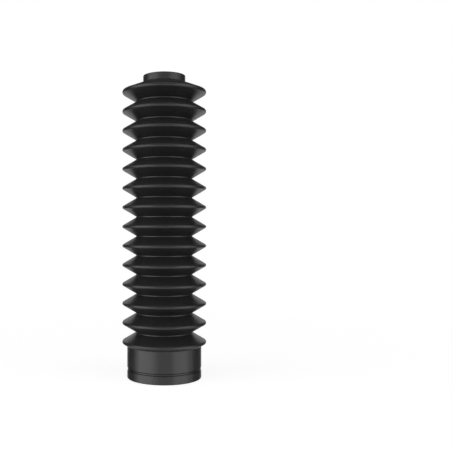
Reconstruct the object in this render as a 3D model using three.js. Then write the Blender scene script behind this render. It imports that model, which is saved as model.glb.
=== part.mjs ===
// Fork gaiter: a bellows moulded in one piece of rubber, worn over a telescopic fork leg.
// Millimetres, +Z up. The origin is the centre of the flat bottom rim.
import * as THREE from "three";

// Bottom collar, which fits over the fork slider
const bottomBoreRadius = 30;
const bottomCollarWall = 3.1;
const bottomCollarHeight = 28.3;
const bottomRimRounding = 0.7;
const bottomCollarFillet = 0.25;

// Groove round the bottom collar for a clamp band, with a rib along its floor and a lead-in slope below it
const clampGrooveHeight = 8.55;
const clampGrooveWidth = 2.3;
const clampGrooveDepth = 1.5;
const clampRibWidth = 1;
const clampRibDrop = 0.45;
const clampLeadIn = 1.5;

// Folds. A crest is the rim of a ridge, and a groove is the bottom of the valley between two ridges.
const ridgeCount = 14;
const ridgePitch = 17.12;
const ridgeOverhang = 4.4;
const foldDepth = 12.3;
const foldWall = 1.8;
const crestRounding = 1.6;
const grooveLand = 0.7;
const innerCrestRounding = 0.4;
const innerGrooveRounding = 2.4;

// Shoulder and top collar, which grips the stanchion
const shoulderSlope = THREE.MathUtils.degToRad(21.7);
const shoulderRounding = 1.8;
const shoulderWall = 2;
const topBoreRadius = 16.5;
const topCollarWall = 2.4;
const topCollarHeight = 6.1;
const topRimRounding = 0.3;

// Fineness of the surface: sides around the axis, and chords in a rounding
const sidesAround = 36;
const shoulderChords = 4;
const roundingChords = 2;
const smallRoundingChords = 1;

// The ridges stand out beyond the bottom collar, and the grooves lie inside its bore.
const bottomCollarRadius = bottomBoreRadius + bottomCollarWall;
const topCollarRadius = topBoreRadius + topCollarWall;
const crestRadius = bottomCollarRadius + ridgeOverhang;
const grooveRadius = crestRadius - foldDepth;

// A flank runs from the flat land of a groove to touch the rounding of the crest beside it.
const halfPitch = ridgePitch / 2;
const halfLand = grooveLand / 2;
const flankRise = halfPitch - halfLand;
const flankReach = foldDepth - crestRounding;
const flankSlope =
  Math.atan2(flankRise, flankReach) - Math.asin(crestRounding / Math.hypot(flankRise, flankReach));

// Where the flanks would meet if they had no rounding or land between them, outside and inside the wall
const crestCornerRadius = crestRadius + crestRounding / Math.sin(flankSlope) - crestRounding;
const innerCornerInset = foldWall / Math.sin(flankSlope);
const innerCrestCornerRadius = crestCornerRadius - innerCornerInset;
const innerGrooveCornerRadius = grooveRadius - halfLand / Math.tan(flankSlope) - innerCornerInset;

// A straight run of the section is the line height = base + slope * radius.
function lineThrough(radius, height, slope) {
  return { slope, base: height - slope * radius };
}

function heightAt(line, radius) {
  return line.base + line.slope * radius;
}

function raised(line, distance) {
  return { slope: line.slope, base: line.base + distance * Math.hypot(1, line.slope) };
}

function crossing(lineA, lineB) {
  const radius = (lineB.base - lineA.base) / (lineA.slope - lineB.slope);
  return [radius, heightAt(lineA, radius)];
}

// The lowest ridge rises from the top of the bottom collar.
const lowestFlank = lineThrough(bottomCollarRadius, bottomCollarHeight, Math.tan(flankSlope));
const lowestCrestHeight = heightAt(lowestFlank, crestCornerRadius);
const topCrestHeight = lowestCrestHeight + (ridgeCount - 1) * ridgePitch;

// The shoulder slopes up from the top ridge, whose rounding touches it and the flank below.
const topFlank = lineThrough(crestCornerRadius, topCrestHeight, Math.tan(flankSlope));
const shoulderArcRadius = crestRadius - shoulderRounding;
const shoulderArcHeight = heightAt(raised(topFlank, shoulderRounding), shoulderArcRadius);
const shoulderMidline = lineThrough(shoulderArcRadius, shoulderArcHeight, -Math.tan(shoulderSlope));
const shoulder = raised(shoulderMidline, shoulderRounding);
const innerShoulder = raised(shoulder, -shoulderWall);
const topCollarFoot = heightAt(shoulder, topCollarRadius);
const topRimHeight = topCollarFoot + topCollarHeight;

// A corner of the section, with the radius of the arc that rounds it
function corner(radius, height, rounding = 0, chords = roundingChords) {
  return { point: new THREE.Vector2(radius, height), rounding, chords };
}

// The clamp groove upwards: its lead-in, the slot below the rib, the rib, and the slot above it
function clampGroove() {
  const floor = bottomCollarRadius - clampGrooveDepth;
  const ribTop = bottomCollarRadius - clampRibDrop;
  const grooveBottom = clampGrooveHeight - clampGrooveWidth / 2;
  const grooveTop = clampGrooveHeight + clampGrooveWidth / 2;
  const ribBottomHeight = clampGrooveHeight - clampRibWidth / 2;
  const ribTopHeight = clampGrooveHeight + clampRibWidth / 2;
  return [
    corner(bottomCollarRadius, grooveBottom - clampLeadIn),
    corner(ribTop, grooveBottom),
    corner(floor, grooveBottom),
    corner(floor, ribBottomHeight),
    corner(ribTop, ribBottomHeight),
    corner(ribTop, ribTopHeight),
    corner(floor, ribTopHeight),
    corner(floor, grooveTop),
    corner(bottomCollarRadius, grooveTop),
  ];
}

function bottomCollarOutside() {
  return [
    corner(bottomCollarRadius, 0, bottomRimRounding),
    ...clampGroove(),
    corner(bottomCollarRadius, bottomCollarHeight, bottomCollarFillet, smallRoundingChords),
  ];
}

// One ridge and the groove above it, seen from outside; the inside takes the same pair in reverse.
function foldOutside(crestHeight) {
  const grooveHeight = crestHeight + halfPitch;
  return [
    corner(crestCornerRadius, crestHeight, crestRounding),
    corner(grooveRadius, grooveHeight - halfLand),
    corner(grooveRadius, grooveHeight + halfLand),
  ];
}

function foldInside(crestHeight) {
  return [
    corner(innerGrooveCornerRadius, crestHeight + halfPitch, innerGrooveRounding),
    corner(innerCrestCornerRadius, crestHeight, innerCrestRounding, smallRoundingChords),
  ];
}

function topOutside() {
  return [
    corner(...crossing(topFlank, shoulder), shoulderRounding, shoulderChords),
    corner(topCollarRadius, topCollarFoot),
    corner(topCollarRadius, topRimHeight, topRimRounding, smallRoundingChords),
  ];
}

function topInside() {
  const innerTopFlank = raised(topFlank, foldWall);
  return [
    corner(topBoreRadius, topRimHeight),
    corner(topBoreRadius, heightAt(innerShoulder, topBoreRadius)),
    corner(...crossing(innerTopFlank, innerShoulder), innerCrestRounding, smallRoundingChords),
  ];
}

function bottomCollarInside() {
  const innerLowestFlank = raised(lowestFlank, foldWall);
  return [
    corner(bottomBoreRadius, heightAt(innerLowestFlank, bottomBoreRadius)),
    corner(bottomBoreRadius, 0),
  ];
}

// The corners of the whole section, up the outside and down the inside
function sectionCorners() {
  const crestHeights = Array.from(
    { length: ridgeCount - 1 },
    (_, index) => lowestCrestHeight + index * ridgePitch,
  );
  return [
    ...bottomCollarOutside(),
    ...crestHeights.flatMap(foldOutside),
    ...topOutside(),
    ...topInside(),
    ...crestHeights.toReversed().flatMap(foldInside),
    ...bottomCollarInside(),
  ];
}

// The points on the arc that touches both sides of a rounded corner
function roundedCorner({ point, rounding, chords }, before, after) {
  const back = before.clone().sub(point).normalize();
  const ahead = after.clone().sub(point).normalize();
  const halfAngle = back.angleTo(ahead) / 2;
  const centreDistance = rounding / Math.sin(halfAngle);
  const tangentLength = rounding / Math.tan(halfAngle);
  const centre = back.clone().add(ahead).setLength(centreDistance).add(point);
  const start = back.clone().multiplyScalar(tangentLength).add(point);
  const turn = (2 * halfAngle - Math.PI) * Math.sign(back.cross(ahead));
  return Array.from({ length: chords + 1 }, (_, index) =>
    start.clone().rotateAround(centre, (turn * index) / chords),
  );
}

function closedOutline(corners) {
  const points = corners.flatMap((current, index) => {
    if (!current.rounding) return [current.point];
    const before = corners.at(index - 1).point;
    const after = corners[(index + 1) % corners.length].point;
    return roundedCorner(current, before, after);
  });
  return [...points, points[0].clone()];
}

// The lathe turns the section about Y, and the mesh is stood up along Z.
function gaiter() {
  const geometry = new THREE.LatheGeometry(closedOutline(sectionCorners()), sidesAround);
  const rubber = new THREE.MeshStandardMaterial({ color: 0x1c1c1c, roughness: 0.45, metalness: 0 });
  const mesh = new THREE.Mesh(geometry, rubber);
  mesh.name = "gaiter";
  mesh.rotation.x = Math.PI / 2;
  return mesh;
}

const part = new THREE.Group();
part.add(gaiter());

export default part;
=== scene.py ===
"""A fork gaiter, one bellows of satin black rubber, standing in a plain white studio.

Lengths are in metres, angles in radians. The frame's origin is the centre of the gaiter's bottom rim.
"""

import math

import bmesh
import bpy
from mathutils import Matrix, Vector


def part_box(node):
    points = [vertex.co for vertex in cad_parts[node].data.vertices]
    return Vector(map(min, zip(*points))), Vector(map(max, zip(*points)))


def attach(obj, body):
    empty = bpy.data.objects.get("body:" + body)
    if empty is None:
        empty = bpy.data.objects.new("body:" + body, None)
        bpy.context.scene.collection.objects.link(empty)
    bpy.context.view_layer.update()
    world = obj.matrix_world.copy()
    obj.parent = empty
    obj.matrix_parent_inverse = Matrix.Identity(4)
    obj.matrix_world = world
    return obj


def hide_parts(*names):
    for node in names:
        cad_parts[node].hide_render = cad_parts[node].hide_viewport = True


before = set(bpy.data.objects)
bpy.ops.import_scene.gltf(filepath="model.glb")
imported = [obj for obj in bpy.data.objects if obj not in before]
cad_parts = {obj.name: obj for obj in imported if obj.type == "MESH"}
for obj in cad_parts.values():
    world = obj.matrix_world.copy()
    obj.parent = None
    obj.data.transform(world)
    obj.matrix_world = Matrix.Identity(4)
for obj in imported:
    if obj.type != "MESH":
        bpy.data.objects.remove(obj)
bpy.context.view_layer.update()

MM = 0.001

# The gaiter's sizes are the solid's own, but for the roundings of the grooves' edges, which it has sharp.

# The folds, whose crests reach the sides of the solid's box
_, solid_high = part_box("gaiter")
CREST_RADIUS = solid_high.x
RIDGE_COUNT = 14
RIDGE_PITCH = 17.12 * MM
RIDGE_OVERHANG = 4.4 * MM
FOLD_DEPTH = 12.3 * MM
FOLD_WALL = 1.8 * MM
CREST_ROUNDING = 1.6 * MM
GROOVE_LAND = 0.7 * MM
GROOVE_CORNER_ROUNDING = 0.12 * MM
INNER_CREST_ROUNDING = 0.4 * MM
INNER_GROOVE_ROUNDING = 2.4 * MM

# Bottom collar
BOTTOM_COLLAR_WALL = 3.1 * MM
BOTTOM_COLLAR_HEIGHT = 28.3 * MM
BOTTOM_COLLAR_FILLET = 0.25 * MM
BOTTOM_RIM_ROUNDING = 0.7 * MM

# Groove round the bottom collar for a clamp band, with a rib along its floor and a lead-in slope below it
CLAMP_GROOVE_HEIGHT = 8.55 * MM
CLAMP_GROOVE_WIDTH = 2.3 * MM
CLAMP_GROOVE_DEPTH = 1.5 * MM
CLAMP_RIB_WIDTH = 1 * MM
CLAMP_RIB_DROP = 0.45 * MM
CLAMP_LEAD_IN = 1.5 * MM
CLAMP_EDGE_ROUNDING = 0.08 * MM

# Shoulder and top collar
SHOULDER_SLOPE = math.radians(21.7)
SHOULDER_ROUNDING = 1.8 * MM
SHOULDER_WALL = 2 * MM
TOP_BORE_RADIUS = 16.5 * MM
TOP_COLLAR_WALL = 2.4 * MM
TOP_COLLAR_HEIGHT = 6.1 * MM
TOP_RIM_ROUNDING = 0.3 * MM

# Fineness of the turned surface: sides around the axis, and the turn between two points of an arc
SIDES_AROUND = 144
ARC_STEP = math.radians(15)
FEWEST_ARC_STEPS = 2
# A flat run longer than this gets a loop of points near each of its ends, so that it is shaded flat.
LONG_RUN = 1 * MM
END_LOOP_DISTANCE = 0.25 * MM
# Points closer together than this are one.
MERGE_DISTANCE = 0.001 * MM

# Satin black rubber. The bloom is a soft mottle over it, and the grain is what the mould leaves.
CLEAN_RUBBER = 0.025
BLOOMED_RUBBER = 0.033
RUBBER_IOR = 1.46
RUBBER_ROUGHNESS = 0.24
BLOOM_SCALE = 45.0
BLOOM_DETAIL = 4.0
BLOOM_BREAKUP = 0.6
BLOOM_ROUGHNESS = 0.04
GRAIN_SCALE = 2200.0
GRAIN_ROUGHNESS = 0.04
GRAIN_DEPTH = 0.04 * MM
GRAIN_STRENGTH = 0.25
GRAZING_ROUGHNESS = 0.24

# The floor lies just under the rim, and the gaiter's shadow on it fades out at the reach from the axis.
FLOOR_HALF_WIDTH = 6.0
FLOOR_DROP = 0.1 * MM
FLOOR_REFLECTANCE = 0.85
SHADOWED_REFLECTANCE = 0.5
SHADOWED_GLOW = 0.85
SHADOW_REACH = 0.5

# The even light on the gaiter from all around, where 1 is plain white, and the soft boxes and flags
ROOM_LIGHT = 0.5
SOFT_BOX_HEIGHT = 1.2
SOFT_BOX_DISTANCE = 1.3
SOFT_BOX_CENTRE_HEIGHT = 0.03
FLAG_DISTANCE = 1.2

# The photograph's camera, level with the middle of the bellows
IMAGE_PIXELS = 452
FOCAL_LENGTH_PIXELS = 643.25
AXIS_PIXEL_X = 164.26
EYE_LEVEL_PIXEL_Y = 227.51
CAMERA_DISTANCE = 0.5767
EYE_HEIGHT = 0.1337


class Socket:
    """A shader socket on which Python's own arithmetic adds Math nodes."""

    def __init__(self, nodes, output):
        self.nodes = nodes
        self.output = output

    def combined(self, operation, first, second):
        return self.nodes.add("ShaderNodeMath", {"operation": operation}, {0: first, 1: second})

    def __add__(self, other):
        return self.combined("ADD", self, other)

    def __radd__(self, other):
        return self.combined("ADD", other, self)

    def __mul__(self, other):
        return self.combined("MULTIPLY", self, other)

    def __rmul__(self, other):
        return self.combined("MULTIPLY", other, self)

    def highest_of(self, other):
        return self.combined("MAXIMUM", self, other)


class NodeTree:
    """The nodes of one material or world, added one at a time with their settings and inputs."""

    def __init__(self, owner):
        owner.use_nodes = True
        self.tree = owner.node_tree
        self.tree.nodes.clear()

    def add(self, kind, settings=None, inputs=None, output=0):
        """Adds a node, and gives the socket of one of its outputs where it has any."""
        node = self.tree.nodes.new(kind)
        for name, value in (settings or {}).items():
            setattr(node, name, value)
        for name, value in (inputs or {}).items():
            if isinstance(value, Socket):
                self.tree.links.new(value.output, node.inputs[name])
            else:
                node.inputs[name].default_value = value
        return Socket(self, node.outputs[output]) if node.outputs else None

    def also(self, socket, output):
        """Another output of the node that a socket belongs to."""
        return Socket(self, socket.output.node.outputs[output])


def grey(level):
    """A colour without a tint, where level 1 is white."""
    return level, level, level, 1


def seen_as_background(nodes):
    """1 for rays from the camera, off a glossy surface or through a clear one, and 0 for the rest."""
    camera_ray = nodes.add("ShaderNodeLightPath", output="Is Camera Ray")
    glossy_ray = nodes.also(camera_ray, "Is Glossy Ray")
    transmission_ray = nodes.also(camera_ray, "Is Transmission Ray")
    return camera_ray.highest_of(glossy_ray).highest_of(transmission_ray)


def satin_black_rubber():
    """Moulded rubber, black with carbon, that loses some of its sheen where it is seen at a low angle."""
    material = bpy.data.materials.new("satin_black_rubber")
    nodes = NodeTree(material)
    place = nodes.add("ShaderNodeTexCoord", output="Object")
    bloom = nodes.add(
        "ShaderNodeTexNoise",
        inputs={
            "Vector": place,
            "Scale": BLOOM_SCALE,
            "Detail": BLOOM_DETAIL,
            "Roughness": BLOOM_BREAKUP,
        },
    )
    grain = nodes.add("ShaderNodeTexNoise", inputs={"Vector": place, "Scale": GRAIN_SCALE})
    colour = nodes.add(
        "ShaderNodeMix",
        {"data_type": "RGBA"},
        {"Factor": bloom, "A": grey(CLEAN_RUBBER), "B": grey(BLOOMED_RUBBER)},
        output="Result",
    )
    grazing = nodes.add("ShaderNodeLayerWeight", output="Facing")
    lost_sheen = GRAZING_ROUGHNESS * grazing * grazing * grazing
    roughness = RUBBER_ROUGHNESS + BLOOM_ROUGHNESS * bloom + GRAIN_ROUGHNESS * grain + lost_sheen
    relief = nodes.add(
        "ShaderNodeBump",
        inputs={"Strength": GRAIN_STRENGTH, "Distance": GRAIN_DEPTH, "Height": grain},
        output="Normal",
    )
    surface = nodes.add(
        "ShaderNodeBsdfPrincipled",
        inputs={"Base Color": colour, "Roughness": roughness, "IOR": RUBBER_IOR, "Normal": relief},
    )
    nodes.add("ShaderNodeOutputMaterial", inputs={"Surface": surface})
    return material


def object_in_scene(name, data):
    """An object in the scene for a mesh, a light or a camera."""
    placed = bpy.data.objects.new(name, data)
    bpy.context.scene.collection.objects.link(placed)
    return placed


def finished_piece(name, mesh, material):
    """An object in the scene with the finished mesh and its material."""
    data = bpy.data.meshes.new(name)
    mesh.to_mesh(data)
    mesh.free()
    data.materials.append(material)
    return object_in_scene(name, data)


class SectionPen:
    """Draws half the section of a turned piece, with radius along X and height along Z."""

    def __init__(self, mesh, start):
        self.mesh = mesh
        self.start = bmesh.ops.create_vert(mesh, co=start)["vert"][0]
        self.tip = self.start

    def line(self, end):
        drawn = bmesh.ops.extrude_vert_indiv(self.mesh, verts=[self.tip])
        self.tip = drawn["verts"][0]
        bmesh.ops.translate(self.mesh, verts=[self.tip], vec=end - self.tip.co)

    def flat_run(self, end):
        """A line, with a point close to each end where it is long enough for that."""
        start = self.tip.co.copy()
        length = (end - start).length
        if length > LONG_RUN:
            self.line(start.lerp(end, END_LOOP_DISTANCE / length))
            self.line(end.lerp(start, END_LOOP_DISTANCE / length))
        self.line(end)

    def arc(self, centre, turn):
        steps = max(FEWEST_ARC_STEPS, round(abs(turn) / ARC_STEP))
        drawn = bmesh.ops.spin(
            self.mesh, geom=[self.tip], cent=centre, axis=(0, 1, 0), angle=turn, steps=steps
        )
        self.tip = next(item for item in drawn["geom_last"] if isinstance(item, bmesh.types.BMVert))


class Line:
    """A straight run of the section: height = base + slope * radius."""

    def __init__(self, radius, height, slope):
        self.slope = slope
        self.base = height - slope * radius

    def height_at(self, radius):
        return self.base + self.slope * radius

    def raised(self, distance):
        return Line(0, self.base + distance * math.hypot(1, self.slope), self.slope)

    def crossing(self, other):
        radius = (other.base - self.base) / (self.slope - other.slope)
        return radius, self.height_at(radius)


def corner(radius, height, rounding=0.0):
    """A corner of the section, with the radius of the arc that rounds it."""
    return Vector((radius, 0, height)), rounding


def clamp_groove(collar_radius):
    """The clamp groove upwards: its lead-in, the slot below the rib, the rib, and the slot above it."""
    floor = collar_radius - CLAMP_GROOVE_DEPTH
    rib_top = collar_radius - CLAMP_RIB_DROP
    groove_bottom = CLAMP_GROOVE_HEIGHT - CLAMP_GROOVE_WIDTH / 2
    groove_top = CLAMP_GROOVE_HEIGHT + CLAMP_GROOVE_WIDTH / 2
    rib_bottom_height = CLAMP_GROOVE_HEIGHT - CLAMP_RIB_WIDTH / 2
    rib_top_height = CLAMP_GROOVE_HEIGHT + CLAMP_RIB_WIDTH / 2
    return [
        corner(collar_radius, groove_bottom - CLAMP_LEAD_IN),
        corner(rib_top, groove_bottom, CLAMP_EDGE_ROUNDING),
        corner(floor, groove_bottom),
        corner(floor, rib_bottom_height),
        corner(rib_top, rib_bottom_height, CLAMP_EDGE_ROUNDING),
        corner(rib_top, rib_top_height, CLAMP_EDGE_ROUNDING),
        corner(floor, rib_top_height),
        corner(floor, groove_top),
        corner(collar_radius, groove_top, CLAMP_EDGE_ROUNDING),
    ]


def section_corners():
    """The corners of the section, up the outside from the bottom rim and down the inside."""
    bottom_collar = CREST_RADIUS - RIDGE_OVERHANG
    bottom_bore = bottom_collar - BOTTOM_COLLAR_WALL
    top_collar = TOP_BORE_RADIUS + TOP_COLLAR_WALL
    groove_radius = CREST_RADIUS - FOLD_DEPTH

    # A flank runs from the edge of a groove's land to touch the rounding of the crest beside it.
    half_pitch = RIDGE_PITCH / 2
    half_land = GROOVE_LAND / 2
    rise = half_pitch - half_land
    reach = FOLD_DEPTH - CREST_ROUNDING
    flank = math.atan2(rise, reach) - math.asin(CREST_ROUNDING / math.hypot(rise, reach))
    crest_corner = CREST_RADIUS - CREST_ROUNDING + CREST_ROUNDING / math.sin(flank)
    groove_corner = groove_radius - half_land / math.tan(flank)
    inset = FOLD_WALL / math.sin(flank)

    # The lowest ridge rises from the top of the bottom collar.
    lowest_flank = Line(bottom_collar, BOTTOM_COLLAR_HEIGHT, math.tan(flank))
    lowest_crest = lowest_flank.height_at(crest_corner)
    top_crest = lowest_crest + (RIDGE_COUNT - 1) * RIDGE_PITCH

    # The top ridge's rounding touches the shoulder above it and the flank below it.
    top_flank = Line(crest_corner, top_crest, math.tan(flank))
    shoulder_arc = CREST_RADIUS - SHOULDER_ROUNDING
    shoulder_arc_height = top_flank.raised(SHOULDER_ROUNDING).height_at(shoulder_arc)
    shoulder = Line(shoulder_arc, shoulder_arc_height, -math.tan(SHOULDER_SLOPE)).raised(SHOULDER_ROUNDING)
    inner_shoulder = shoulder.raised(-SHOULDER_WALL)
    inner_top_flank = top_flank.raised(FOLD_WALL)
    top_rim = shoulder.height_at(top_collar) + TOP_COLLAR_HEIGHT

    crests = [lowest_crest + index * RIDGE_PITCH for index in range(RIDGE_COUNT - 1)]
    corners = [
        corner(bottom_collar, 0, BOTTOM_RIM_ROUNDING),
        *clamp_groove(bottom_collar),
        corner(bottom_collar, BOTTOM_COLLAR_HEIGHT, BOTTOM_COLLAR_FILLET),
    ]
    for crest in crests:
        groove = crest + half_pitch
        corners += [
            corner(crest_corner, crest, CREST_ROUNDING),
            corner(groove_radius, groove - half_land, GROOVE_CORNER_ROUNDING),
            corner(groove_radius, groove + half_land, GROOVE_CORNER_ROUNDING),
        ]
    corners += [
        corner(*top_flank.crossing(shoulder), SHOULDER_ROUNDING),
        corner(top_collar, shoulder.height_at(top_collar)),
        corner(top_collar, top_rim, TOP_RIM_ROUNDING),
        corner(TOP_BORE_RADIUS, top_rim),
        corner(TOP_BORE_RADIUS, inner_shoulder.height_at(TOP_BORE_RADIUS)),
        corner(*inner_top_flank.crossing(inner_shoulder), INNER_CREST_ROUNDING),
    ]
    for crest in reversed(crests):
        corners += [
            corner(groove_corner - inset, crest + half_pitch, INNER_GROOVE_ROUNDING),
            corner(crest_corner - inset, crest, INNER_CREST_ROUNDING),
        ]
    corners += [
        corner(bottom_bore, lowest_flank.raised(FOLD_WALL).height_at(bottom_bore)),
        corner(bottom_bore, 0),
    ]
    return corners


def draw_section(mesh, corners):
    """Draws the closed outline, with an arc at each rounded corner, and closes it on its first point."""
    pen = None
    for index, (place, rounding) in enumerate(corners):
        before, _ = corners[index - 1]
        after, _ = corners[(index + 1) % len(corners)]
        back = (before - place).normalized()
        ahead = (after - place).normalized()
        half_angle = back.angle(ahead) / 2
        arc_start = place + back * (rounding / math.tan(half_angle))
        if pen is None:
            pen = SectionPen(mesh, arc_start)
        else:
            pen.flat_run(arc_start)
        if rounding:
            centre = place + (back + ahead).normalized() * (rounding / math.sin(half_angle))
            turn = math.copysign(math.pi - 2 * half_angle, -back.cross(ahead).y)
            pen.arc(centre, turn)
    pen.flat_run(pen.start.co.copy())
    bmesh.ops.remove_doubles(mesh, verts=mesh.verts, dist=MERGE_DISTANCE)


def turned_bellows():
    """The whole gaiter, turned about Z from its section."""
    mesh = bmesh.new()
    draw_section(mesh, section_corners())
    bmesh.ops.spin(
        mesh,
        geom=[*mesh.verts, *mesh.edges],
        cent=(0, 0, 0),
        axis=(0, 0, 1),
        angle=2 * math.pi,
        steps=SIDES_AROUND,
        use_merge=True,
    )
    bmesh.ops.remove_doubles(mesh, verts=mesh.verts, dist=MERGE_DISTANCE)
    bmesh.ops.recalc_face_normals(mesh, faces=mesh.faces)
    for face in mesh.faces:
        face.smooth = True
    return finished_piece("rubber_bellows", mesh, satin_black_rubber())


def floor_finish():
    """Pale to the light that falls on it. To the eye it glows white, but for the shadow near the gaiter."""
    material = bpy.data.materials.new("pale_floor")
    nodes = NodeTree(material)
    pale = nodes.add("ShaderNodeBsdfDiffuse", inputs={"Color": grey(FLOOR_REFLECTANCE)})
    shaded = nodes.add("ShaderNodeBsdfDiffuse", inputs={"Color": grey(SHADOWED_REFLECTANCE)})
    glow = nodes.add("ShaderNodeEmission", inputs={"Color": grey(SHADOWED_GLOW)})
    shadowed = nodes.add("ShaderNodeAddShader", inputs={0: shaded, 1: glow})
    white = nodes.add("ShaderNodeEmission", inputs={"Color": grey(1)})
    place = nodes.add("ShaderNodeTexCoord", output="Object")
    scale = 1 / SHADOW_REACH
    spread = nodes.add("ShaderNodeMapping", inputs={"Vector": place, "Scale": (scale, scale, scale)})
    nearness = nodes.add(
        "ShaderNodeTexGradient", {"gradient_type": "SPHERICAL"}, {"Vector": spread}, output="Fac"
    )
    seen = nodes.add("ShaderNodeMixShader", inputs={0: nearness, 1: white, 2: shadowed})
    surface = nodes.add("ShaderNodeMixShader", inputs={0: seen_as_background(nodes), 1: pale, 2: seen})
    nodes.add("ShaderNodeOutputMaterial", inputs={"Surface": surface})
    return material


def pale_floor():
    """The floor that the gaiter stands on, which its sheen doesn't show."""
    mesh = bmesh.new()
    bmesh.ops.create_grid(mesh, x_segments=1, y_segments=1, size=FLOOR_HALF_WIDTH)
    floor = finished_piece("floor", mesh, floor_finish())
    floor.location.z = -FLOOR_DROP
    floor.visible_glossy = False


def white_world():
    """Plain white where it is seen, and a soft even light on the gaiter."""
    world = bpy.data.worlds.new("studio")
    bpy.context.scene.world = world
    nodes = NodeTree(world)
    strength = ROOM_LIGHT + (1 - ROOM_LIGHT) * seen_as_background(nodes)
    background = nodes.add("ShaderNodeBackground", inputs={"Color": grey(1), "Strength": strength})
    nodes.add("ShaderNodeOutputWorld", inputs={"Surface": background})


def away_from_axis(azimuth, elevation=0.0):
    """The direction out from the gaiter's axis, where azimuth 0 is the camera's side."""
    level = math.cos(elevation)
    return Vector((level * math.sin(azimuth), -level * math.cos(azimuth), math.sin(elevation)))


def soft_box(name, azimuth, width, brightness):
    """An upright panel of light that faces the gaiter, as bright at any width."""
    light = bpy.data.lights.new(name, "AREA")
    light.shape = "RECTANGLE"
    light.size = width
    light.size_y = SOFT_BOX_HEIGHT
    light.energy = brightness * math.pi * width * SOFT_BOX_HEIGHT
    lamp = object_in_scene(name, light)
    outward = away_from_axis(azimuth)
    lamp.location = outward * SOFT_BOX_DISTANCE + Vector((0, 0, SOFT_BOX_CENTRE_HEIGHT))
    lamp.rotation_euler = outward.to_track_quat("Z", "Y").to_euler()


def flag(name, level, azimuth, width, height, elevation=0.0):
    """A plain grey panel that faces the gaiter and isn't seen itself, but only in the rubber's sheen."""
    material = bpy.data.materials.new(name)
    nodes = NodeTree(material)
    paint = nodes.add("ShaderNodeBsdfDiffuse", inputs={"Color": grey(level)})
    nodes.add("ShaderNodeOutputMaterial", inputs={"Surface": paint})

    outward = away_from_axis(azimuth, elevation)
    mesh = bmesh.new()
    bmesh.ops.create_grid(mesh, x_segments=1, y_segments=1, size=height / 2)
    bmesh.ops.scale(mesh, verts=mesh.verts, vec=(width / height, 1, 1))
    bmesh.ops.rotate(mesh, verts=mesh.verts, matrix=outward.to_track_quat("Z", "Y").to_matrix())
    bmesh.ops.translate(mesh, verts=mesh.verts, vec=outward * FLAG_DISTANCE + Vector((0, 0, EYE_HEIGHT)))
    panel = finished_piece(name, mesh, material)
    panel.visible_camera = False


def photograph_camera():
    """The camera, level and square to the gaiter, with the picture shifted as in the photograph."""
    camera = bpy.data.cameras.new("camera")
    camera.lens = camera.sensor_width * FOCAL_LENGTH_PIXELS / IMAGE_PIXELS
    camera.shift_x = (IMAGE_PIXELS / 2 - AXIS_PIXEL_X) / IMAGE_PIXELS
    camera.shift_y = (EYE_LEVEL_PIXEL_Y - IMAGE_PIXELS / 2) / IMAGE_PIXELS
    viewer = object_in_scene("camera", camera)
    viewer.location = (0, -CAMERA_DISTANCE, EYE_HEIGHT)
    viewer.rotation_euler = (math.pi / 2, 0, 0)
    bpy.context.scene.camera = viewer


bellows = turned_bellows()
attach(bellows, "root")
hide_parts("gaiter")

pale_floor()
white_world()
soft_box("left_soft_box", azimuth=math.radians(-62), width=1.17, brightness=1.53)
soft_box("left_soft_box_edge", azimuth=math.radians(-30), width=0.37, brightness=0.75)
soft_box("right_soft_box", azimuth=math.radians(51), width=1.15, brightness=1.08)
flag("left_flag", level=0.1, azimuth=math.radians(-126.5), width=1.15, height=2.3)
flag("right_flag", level=0.18, azimuth=math.radians(123.5), width=1.24, height=2.3)
flag("upper_flag", level=0.05, azimuth=math.pi, width=2.6, height=1.5, elevation=math.radians(57.5))
flag("front_flag", level=0.4, azimuth=0, width=1.6, height=0.9, elevation=math.radians(42))
photograph_camera()
bpy.context.scene.view_settings.view_transform = "Standard"
